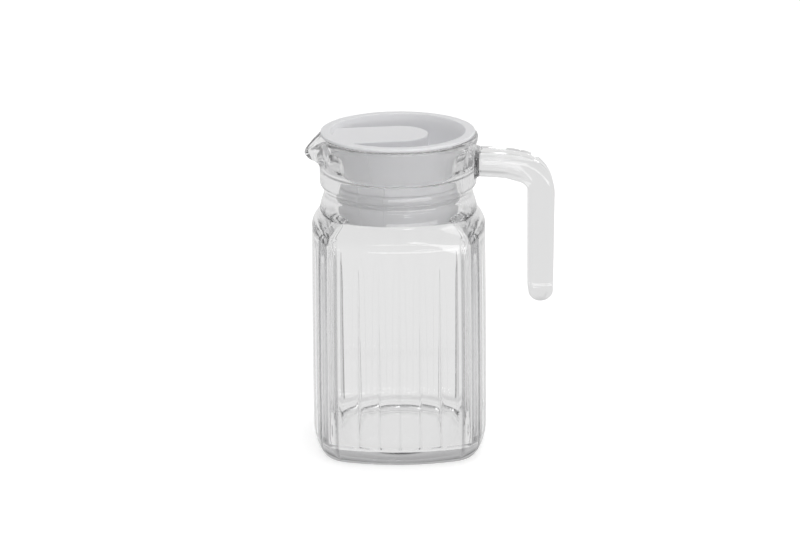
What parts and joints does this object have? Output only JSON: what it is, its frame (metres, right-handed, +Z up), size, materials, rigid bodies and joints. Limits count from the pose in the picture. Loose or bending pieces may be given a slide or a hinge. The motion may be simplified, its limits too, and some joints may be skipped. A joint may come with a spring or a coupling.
{
  "type": "glass pitcher with lid",
  "caption": "Small glass fridge jug with a rounded square body, a drooping spout, an open hooked handle and a push-in plastic stopper lid with a dished finger grip.",
  "frame": {"origin": "middle of the foot ring, on the plane that the jug stands on", "axes": "+Z up along the jug's axis, +X towards the handle, the spout on -X"},
  "size_m": [0.1242, 0.0884, 0.1627],
  "materials": {
    "clear_glass": "clear, fire polished",
    "white_polyethylene": "satin, slightly milky"
  },
  "bodies": {
    "jug": {"glass_jug": "clear_glass", "handle": "clear_glass"},
    "lid": {"lid": "white_polyethylene"}
  },
  "joints": [
    {"name": "lid_lift", "type": "slide", "parent": "jug", "child": "lid", "axis": [0, 0, 1], "range_m": [0, 0.05]}
  ]
}
